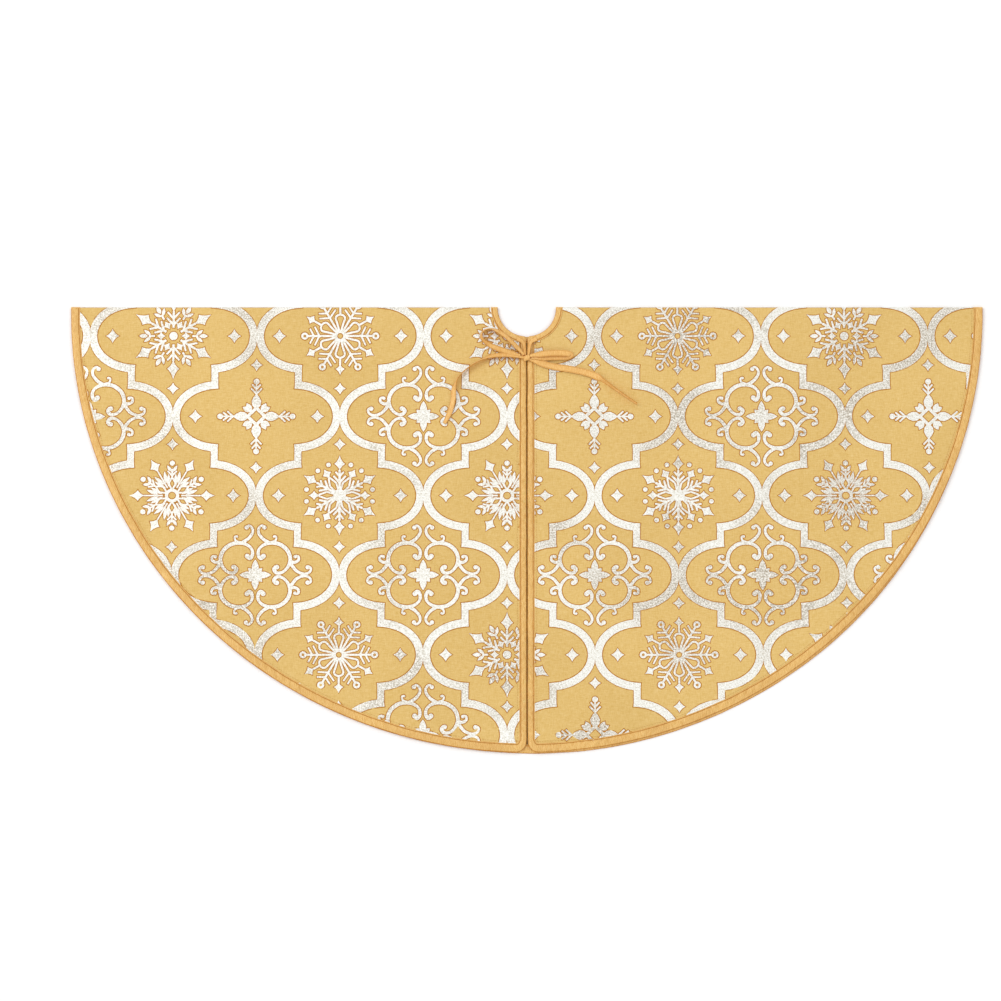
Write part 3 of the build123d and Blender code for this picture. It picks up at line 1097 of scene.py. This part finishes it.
def back_shift(x):
    """The same, eased across the part of the back that has no slit."""
    return RIGHT_SHIFT * ease((x / NECK_RADIUS + 1) / 2)


def all_over_print(cells, low, high, shift):
    """A pattern's shapes over a box of the unfolded skirt, in mm. shift gives the move right at an x."""
    shapes = []
    wide, tall = CELL_REACH
    for row in range(-6, 9):
        y = FIRST_CELL[1] - (row - 1) * ROW
        for column in range(-4, 6):
            x = FIRST_CELL[0] + (column + (0.5 if row % 2 == 0 else 0.0)) * COLUMN
            if not (low[0] - wide < x < high[0] + wide and low[1] - tall < y < high[1] + tall):
                continue
            for shape in cells[cell_motif(row, column)]:
                spots = [(x + u * UNIT, y + v * UNIT) for u, v in shape]
                spots = [(p + shift(p), q + FOLD_DRAW * ease(1 + q / ROW)) for p, q in spots]
                shapes.append(facing_up(spots))
    return shapes


def print_pieces(name, shapes_of, region, points, cuts, at_height, attach):
    """The foil over a region and the darker pressed rim round it.

    shapes_of gives a pattern's shapes in plan and at_height(h) maps the plan h above the cloth.
    """
    foil_shapes = shapes_of(FOIL_PATTERN)
    rim_shapes = [grown(shape, RIM) for shape in shapes_of(RIM_PATTERN)]
    for kind, shapes, height, material in (
        ("foil", foil_shapes, FOIL, FOIL_PRINT),
        ("rim", rim_shapes, RIM_LIFT, PRESSED_RIM),
    ):
        plan, triangles = triangulate(shapes, region, points, cuts)
        outer, inner = at_height(height), at_height(-height)
        attach(thin_solid(f"{name}_{kind}", plan, triangles, outer, inner, material, "printed_cloth"))


def front_print(side):
    """The foil on one front quarter."""
    low = (min(0, side * SKIRT_RADIUS), -SKIRT_RADIUS)
    high = (max(0, side * SKIRT_RADIUS), 0)
    region = quarter_outline(side, PRINT_INSET, OUTLINE_STEP)

    def shapes_of(cells):
        return all_over_print(cells, low, high, lambda x: front_shift(side))

    def at_height(height):
        return level(FACE_TOP + height, lift)

    def attach(piece):
        turn_with_corner(piece, side)

    cuts = hinge_cuts(side)
    print_pieces(f"{SIDE_NAME[side]}_print", shapes_of, region, MESH_POINTS[side], cuts, at_height, attach)


def fold_print(side):
    """The foil that goes round the fold."""
    low_x, high_x = sorted((side * (NECK_RADIUS + PRINT_INSET), side * (SKIRT_RADIUS - PRINT_INSET)))
    region = [(low_x, 0), (high_x, 0), (high_x, FOLD_ROUND), (low_x, FOLD_ROUND)]
    heights = [FOLD_ROUND * k / 12 for k in range(1, 12)]
    cuts = [((low_x, y), (high_x, y)) for y in heights]

    def shapes_of(cells):
        return all_over_print(cells, (low_x, 0), (high_x, FOLD_ROUND), back_shift)

    def at_height(height):
        radius = FOLD_OUTER + height

        def place(x, y):
            angle = y / FOLD_OUTER
            return x, radius * math.sin(angle), FOLD_Z + radius * math.cos(angle)
        return place

    print_pieces(f"{SIDE_NAME[side]}_fold_print", shapes_of, region, (), cuts, at_height, turn_with_fold)


def back_print(side):
    """The print on one side of the back half: the same pattern carried on beyond the fold."""
    low_x, high_x = sorted((0, side * SKIRT_RADIUS))
    start, end = (0, 90) if side == RIGHT else (90, 180)
    region = arc((0, 0), SKIRT_RADIUS - PRINT_INSET, -end, -start, OUTLINE_STEP)
    region += arc((0, 0), NECK_RADIUS + PRINT_INSET, -start, -end, 3.0)

    def shapes_of(cells):
        shapes = all_over_print(cells, (low_x, 0), (high_x, SKIRT_RADIUS), back_shift)
        return [facing_up([(x, FOLD_ROUND - y) for x, y in shape]) for shape in shapes]

    def at_height(height):
        return level(BACK_FACE_BOTTOM - height, back_lift)

    def attach(piece):
        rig.ride(piece, "back_half")

    points = MESH_POINTS[side]
    print_pieces(f"{SIDE_NAME[side]}_back_print", shapes_of, region, points, (), at_height, attach)


for which_side in SIDE_NAME:
    front_print(which_side)
    fold_print(which_side)
    back_print(which_side)


# ---- edge tape
SECTION_STEP = 2.2       # along the tape
BACK_STOPS = 860         # sections along the back half's hem
TAPE_SKIN = 0.4          # the folded tape's thickness
SEAM_IN = 1.8            # the seam, in from the tape's inner edge
SLIT_CLOSING = 0.3       # the slit's edges swell towards each other
NECK_LIFT = 0.25         # the neck tape lies over the end of the slit tape


def edge_path(side):
    """Points, inward directions and tape widths from the fold, round the hem and up the slit."""
    centre, hem_angle = round_corner()
    path = []
    for x, y in arc((0, 0), SKIRT_RADIUS, 0, hem_angle, SECTION_STEP):
        path.append(((x, y), (-x / SKIRT_RADIUS, -y / SKIRT_RADIUS), HEM_TAPE))
    for x, y in arc(centre, CORNER_RADIUS, hem_angle, -180, SECTION_STEP)[1:]:
        share = (y - path[-1][0][1]) / CORNER_RADIUS
        inward = ((centre[0] - x) / CORNER_RADIUS, (centre[1] - y) / CORNER_RADIUS)
        path.append(((x, y), inward, HEM_TAPE + (SLIT_TAPE - HEM_TAPE) * ease(share * 3)))
    top = -(NECK_RADIUS + 3.0)
    count = round((top - centre[1]) / SECTION_STEP)
    for i in range(1, count + 1):
        path.append(((SLIT_EDGE, centre[1] + (top - centre[1]) * i / count), (1.0, 0.0), SLIT_TAPE))
    return [((side * x, y), (side * nx, ny), width) for (x, y), (nx, ny), width in path]


def with_travel(path):
    """Adds the distance travelled to each point of a path."""
    travel = 0.0
    result = []
    before = path[0][0]
    for spot, inward, width in path:
        travel += math.dist(spot, before)
        result.append((spot, inward, width, travel))
        before = spot
    return result


CREASED = (0, 2, 3, 7, 8)    # strips of the section: the inner edge, the seam and the outer fold
TAPE_LOWEST = 0.28       # how far below the flat tape's top a pucker may dip


def folded_section(width, top, bottom, puff):
    """The tape's section: distance in from the edge, height, and how much each point puckers."""
    middle = (top + bottom) / 2
    seam = width - SEAM_IN
    return [
        (width, top - 0.30, 0.0), (width - 0.3, top + 0.10, 0.2), (seam + 0.6, top + 0.14, 0.3),
        (seam, top - 0.24, 0.1), (seam - 0.7, top + 0.55 * puff, 0.4), (0.5 * width, top + puff * 1.2, 1.0),
        (0.24 * width, top + 0.55 * puff, 0.9), (0.8, top - 0.45, 0.4), (0.0, middle, 0.0),
        (0.9, bottom + 0.05, 0.0), (0.5 * width, bottom, 0.0), (width, bottom, 0.0),
        (width, bottom + TAPE_SKIN - 0.03, 0.0), (0.5 * width, bottom + TAPE_SKIN - 0.03, 0.0),
        (0.6, bottom + TAPE_SKIN, 0.0), (0.6, top - TAPE_SKIN, 0.0),
        (0.5 * width, top - TAPE_SKIN + 0.03, 0.0), (width, top - TAPE_SKIN + 0.03, 0.0),
    ]


def pucker(travel, inward, seed):
    """Slanting puckers that the curve puts in the tape, from -1 to 1."""
    drift = 2.2 * noise.noise(Vector((travel / 30, seed, 0.0)))
    depth = 0.65 + 0.75 * noise.noise(Vector((travel / 55, seed + 4.0, 0.0)))
    phase = math.tau * (travel + 1.1 * inward) / 13.0 + drift
    return depth * (math.sin(phase) + 0.35 * math.sin(2 * phase + 1.2))


def tape_sweep(name, path, top, bottom, rise, puff, wrinkle, seed, peek=None):
    """Tape folded over an edge, along a path. rise is the cloth's lift and peek moves the edge out."""
    points = []
    count = 0
    for spot, inward, width, travel in with_travel(path):
        waver = 0.35 * noise.noise(Vector((travel / 30, seed + 8.0, 0.0)))
        closing = SLIT_CLOSING if width == SLIT_TAPE else 0.0
        out = waver + closing + (peek(spot) if peek else 0.0)
        section = folded_section(width, top, bottom, puff)
        count = len(section)
        for depth, height, share in section:
            x = spot[0] + inward[0] * (depth - out)
            y = spot[1] + inward[1] * (depth - out)
            if share:
                height += wrinkle * share * pucker(travel, depth, seed)
                height = max(height, top - TAPE_LOWEST)
            points.append((x, min(y, 0.0), rise(x, y) + height))
    rings = len(path)
    faces = ring_faces(rings, count)
    for base in (0, (rings - 1) * count):
        links = [(0, 17), (5, 16), (7, 15), (9, 14), (10, 13), (11, 12)]
        for (a, c), (b, d) in zip(links, links[1:]):
            faces.append([base + k for k in range(a, b + 1)] + [base + d, base + c])
    piece = piece_from(name, points, faces, TAPE, "edge_tape")
    darken_strips(piece, (rings - 1) * count, count, CREASED)
    return piece


def back_peek(spot):
    """The back half's hem shows a little outside the front's at the lower right."""
    angle = math.degrees(math.atan2(spot[1], spot[0]))
    return 2.6 * ease((angle + 100) / 25) * ease((-20 - angle) / 30)


def neck_path(start, end):
    """The neck's edge, from one angle to another."""
    return [(p, (p[0] / NECK_RADIUS, p[1] / NECK_RADIUS), NECK_TAPE)
            for p in arc((0, 0), NECK_RADIUS, start, end, 1.6)]


def half_hem_path():
    """The whole outer edge of the back half."""
    path = []
    for angle in np.linspace(0, math.pi, BACK_STOPS):
        c, s = math.cos(angle), math.sin(angle)
        path.append(((SKIRT_RADIUS * c, -SKIRT_RADIUS * s), (-c, s), HEM_TAPE))
    return path


def all_tapes():
    """Hem, slit and neck tape of both halves."""
    front = (TAPE_TOP, TAPE_BOTTOM, lift)
    back = (BACK_TAPE_TOP, BACK_TAPE_BOTTOM, back_lift)
    for side, name in SIDE_NAME.items():
        edge = tape_sweep(f"{name}_edge_tape", edge_path(side), *front, 0.8, 1.15, 3.0 + side)
        turn_with_corner(edge, side)
        nodes = [f"{name}_{part}_{which}_tape" for part in ("front", "corner") for which in ("hem", "slit")]
        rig.replaces(edge, *nodes)
        path = neck_path(0, -86) if side == RIGHT else neck_path(180, 266)
        high = (TAPE_TOP + NECK_LIFT, TAPE_BOTTOM, lift)
        neck = tape_sweep(f"{name}_neck_tape", path, *high, 0.5, 0.16, 6.0 + side)
        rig.ride(neck, "front_half")
        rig.replaces(neck, f"{name}_front_neck_tape")
    hem = tape_sweep("back_hem_tape_cloth", half_hem_path(), *back, 0.0, 0.0, 11.0, back_peek)
    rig.ride(hem, "back_half")
    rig.replaces(hem, "back_hem_tape")
    neck = tape_sweep("back_neck_tape_cloth", neck_path(0, -180), *back, 0.0, 0.0, 14.0)
    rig.ride(neck, "back_half")
    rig.replaces(neck, "back_neck_tape")


all_tapes()


# ---- stitching
def one_stitch(place, along, length, width):
    """A stitch: a short pointed bead, as points and faces."""
    up = Vector((0, 0, 1))
    side = up.cross(along)
    points = []
    for t, share in ((-0.5, 0.35), (-0.25, 1.0), (0.25, 1.0), (0.5, 0.35)):
        for k in range(6):
            a = math.tau * k / 6
            offset = side * math.cos(a) * width / 2 + up * math.sin(a) * width * 0.4
            points.append(tuple(place + along * (t * length) + offset * share))
    return points, ring_faces(4, 6) + [list(range(6)), list(range(18, 24))]


def stitch_row(name, path, depth_at, height_at, length=2.6, pitch=3.4, width=0.55):
    """A row of stitches, so deep in from an edge for a width of tape and at a height over the plan."""
    points = []
    faces = []
    stops = with_travel(path)
    target = pitch
    for (here, inward, tape_width, start), (there, _, _, end) in zip(stops, stops[1:]):
        if end < target or end == start:
            continue
        share = (target - start) / (end - start)
        target += pitch * shuffle.uniform(0.94, 1.06)
        depth = depth_at(tape_width) + shuffle.uniform(-0.12, 0.12)
        step = (there[0] - here[0], there[1] - here[1])
        x = here[0] + step[0] * share + inward[0] * depth
        y = here[1] + step[1] * share + inward[1] * depth
        if y > -3:
            continue
        along = Vector((*step, 0)).normalized()
        new_points, new_faces = one_stitch(Vector((x, y, height_at(x, y))), along, length, width)
        faces += [[i + len(points) for i in face] for face in new_faces]
        points += new_points
    return piece_from(name, points, faces, THREAD, "edge_tape")


def all_stitches():
    """Two rows along every taped edge of the front, one on the tape and one beside it."""
    for side, name in SIDE_NAME.items():
        on_tape = stitch_row(f"{name}_tape_stitches", edge_path(side), lambda w: w - SEAM_IN,
                             lambda x, y: TAPE_TOP + lift(x, y))
        on_cloth = stitch_row(f"{name}_cloth_stitches", edge_path(side), lambda w: w + 2.4,
                              lambda x, y: FACE_TOP + 0.12 + lift(x, y), 2.4, 3.6, 0.4)
        for piece in (on_tape, on_cloth):
            turn_with_corner(piece, side)
        path = neck_path(0, -84) if side == RIGHT else neck_path(180, 264)
        neck = stitch_row(f"{name}_neck_stitches", path, lambda w: w - SEAM_IN,
                          lambda x, y: TAPE_TOP + NECK_LIFT + lift(x, y), 2.2, 2.9, 0.5)
        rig.ride(neck, "front_half")
    back = stitch_row("back_stitches", half_hem_path(), lambda w: w - SEAM_IN,
                      lambda x, y: BACK_TAPE_BOTTOM + 0.18 + back_lift(x, y))
    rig.ride(back, "back_half")


all_stitches()


# ---- the bow
TIE_WIDTH = 7.5
TIE_THICKNESS = 0.9
TIE_CREASED = (0, 2, 7, 9, 10, 15)    # strips of the tie's section: its edges and its two seams

LEFT_TAIL = [(-4, -69.5, 8.2), (-34, -62, 7.4), (-72, -77, 9.0), (-98, -102, 9.0), (-98, -138, 6.4),
             (-110, -160, 5.6)]
RIGHT_TAIL = [(4, -71.5, 7.0), (28, -81, 5.9), (60, -85, 5.7), (92, -93, 6.0), (121, -116, 8.6),
              (147, -134, 8.2)]
LEFT_LOOP = [(-4, -66, 9.4), (-18, -50, 9.4), (-34, -35, 9.4), (-52, -28, 9.0), (-64, -38, 8.8),
             (-54, -51, 8.6), (-32, -60, 8.4), (-9, -67, 8.8)]
RIGHT_LOOP = [(4, -67.6, 9.6), (20, -65, 11.2), (38, -63.8, 11.0), (54, -64.2, 11.0), (60, -66.4, 8.9),
              (54, -68.6, 6.8), (38, -69.0, 6.6), (22, -69.8, 7.0), (6, -70.0, 8.2)]


def route_points(name, points):
    """Points along the smooth line that a hand-chosen route gives."""
    curve = bpy.data.curves.new(name + "_route", "CURVE")
    curve.dimensions = "3D"
    curve.resolution_u = 16
    spline = curve.splines.new("NURBS")
    spline.points.add(len(points) - 1)
    for spot, (x, y, z) in zip(spline.points, points):
        spot.co = (x * MM, y * MM, z * MM, 1)
    spline.order_u = 3
    spline.use_endpoint_u = True
    holder = bpy.data.objects.new(name + "_route", curve)
    bpy.context.scene.collection.objects.link(holder)
    bpy.context.view_layer.update()
    line = bpy.data.meshes.new_from_object(holder)
    spots = [Vector(v.co) / MM for v in line.vertices]
    bpy.data.objects.remove(holder)
    return spots


def between(stops):
    """A function of 0 to 1 that eases from stop to stop."""
    def value(t):
        for (a, low), (b, high) in zip(stops, stops[1:]):
            if t <= b:
                return low + (high - low) * ease((t - a) / (b - a))
        return stops[-1][1]
    return value


def ribbon(name, node, spots, tilt, width):
    """Stitched flat tape along a line. tilt (its lean in degrees) and width are stops from 0 to 1 along."""
    tilt_at = between(tilt)
    width_at = between(width)
    profile = [(-0.5, 0.0), (-0.47, 0.5), (-0.40, 0.56), (-0.34, 0.34), (-0.28, 0.5), (0.0, 0.44),
               (0.28, 0.5), (0.34, 0.34), (0.40, 0.56), (0.47, 0.5), (0.5, 0.0), (0.47, -0.5),
               (0.34, -0.4), (0.0, -0.5), (-0.34, -0.4), (-0.47, -0.5)]
    lengths = [0.0]
    for a, b in zip(spots, spots[1:]):
        lengths.append(lengths[-1] + (b - a).length)
    points = []
    for i, spot in enumerate(spots):
        t = lengths[i] / lengths[-1]
        along = (spots[min(i + 1, len(spots) - 1)] - spots[max(i - 1, 0)]).normalized()
        flat = Vector((0, 0, 1)).cross(along).normalized()
        up = along.cross(flat).normalized()
        lean = math.radians(tilt_at(t))
        across = flat * math.cos(lean) + up * math.sin(lean)
        out = along.cross(across).normalized()
        for u, v in profile:
            points.append(tuple(spot + across * (u * width_at(t)) + out * (v * TIE_THICKNESS)))
    count = len(profile)
    faces = ring_faces(len(spots), count)
    faces.append(list(range(count)))
    faces.append(list(range(len(points) - count, len(points))))
    piece = piece_from(name, points, faces, TIE, "tie_tape")
    darken_strips(piece, (len(spots) - 1) * count, count, TIE_CREASED)
    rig.ride(piece, "front_half")
    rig.replaces(piece, node)
    return piece


def tie_cord(name, node, route, tilt, width, far_end):
    """A stretch of tie as a free cord."""
    spots = route_points(name, route)
    piece = ribbon(name, node, spots, tilt, width)
    length = sum((b - a).length for a, b in zip(spots, spots[1:])) * MM
    path = [tuple(spot * MM) for spot in spots]
    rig.cord(piece, exit=path[0], length=length, diameter=TIE_WIDTH * MM, far_end=far_end,
            stiffness="limp", lay="loose", path=path)


tie_cord("left_tail_ribbon", "left_tie_tail", LEFT_TAIL,
         [(0, 20), (0.2, 25), (0.38, 70), (0.62, 78), (0.74, 25), (1, 8)],
         [(0, 4.5), (0.12, TIE_WIDTH), (0.9, TIE_WIDTH), (1, 5.0)], "bare")
tie_cord("right_tail_ribbon", "right_tie_tail", RIGHT_TAIL,
         [(0, 10), (0.2, 2), (0.56, 0), (0.66, 72), (0.9, 82), (1, 76)],
         [(0, 4.5), (0.13, 9.2), (0.57, 9.5), (0.72, TIE_WIDTH), (0.9, TIE_WIDTH), (1, 5.0)], "bare")
tie_cord("left_loop_ribbon", "left_bow_loop", LEFT_LOOP,
         [(0, 26), (0.3, 30), (0.45, 66), (0.62, 66), (0.75, 26), (1, 22)],
         [(0, 4.0), (0.12, 7.2), (0.88, 7.2), (1, 4.0)], "object")
tie_cord("right_loop_ribbon", "right_bow_loop", RIGHT_LOOP,
         [(0, 6), (0.4, 2), (0.6, 2), (1, 6)],
         [(0, 4.0), (0.16, 8.2), (0.84, 8.2), (1, 4.0)], "object")


def stubs():
    """The ends of the neck tape, turning down the slit to the knot."""
    for side, name in SIDE_NAME.items():
        route = [(13, -42.5, 5.6), (6.5, -45.0, 5.8), (3.2, -52, 6.2), (2.2, -66, 7.6)]
        spots = route_points(name, [(side * x, y, z) for x, y, z in route])
        tilt = [(0, 4), (0.5, side * 35), (1, side * 50)]
        ribbon(f"{name}_stub_ribbon", f"{name}_tie_stub", spots, tilt, [(0, 7.4), (0.4, 6.2), (1, 5.0)])


def knot():
    """The bow's knot: a wrapped band over two crossing strands."""
    low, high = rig.box("bow_knot")
    centre = (Vector(low) + Vector(high)) / 2 / MM
    centre.z = 8.0
    points = []
    rings, sides = 20, 18
    for i in range(rings + 1):
        u = -1 + 2 * i / rings
        body = 0.88 * math.sqrt(max(0.0, 1 - abs(u) ** 3.2))
        for k in range(sides):
            a = math.tau * k / sides
            groove = 0.16 * math.exp(-((u - 0.15 * math.sin(a)) / 0.14) ** 2)
            swell = body * (1 + 0.09 * math.sin(3 * a + 5 * u) - groove)
            y = 4.6 * swell * math.cos(a)
            z = 3.9 * swell * math.sin(a)
            points.append((centre.x + 4.4 * u + 0.25 * z, centre.y + y + 0.8 * u, centre.z + z))
    faces = ring_faces(rings + 1, sides)
    faces += [list(range(sides)), list(range(rings * sides, (rings + 1) * sides))]
    piece = piece_from("knot_wrap", points, faces, TIE, "tie_tape")
    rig.ride(piece, "front_half")
    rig.replaces(piece, "bow_knot")


stubs()
knot()

with open("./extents.json", "w") as size_file:
    json.dump({"cad": [list(v) for v in CAD_BOX], "visual": [list(v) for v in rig.bounds()]}, size_file)
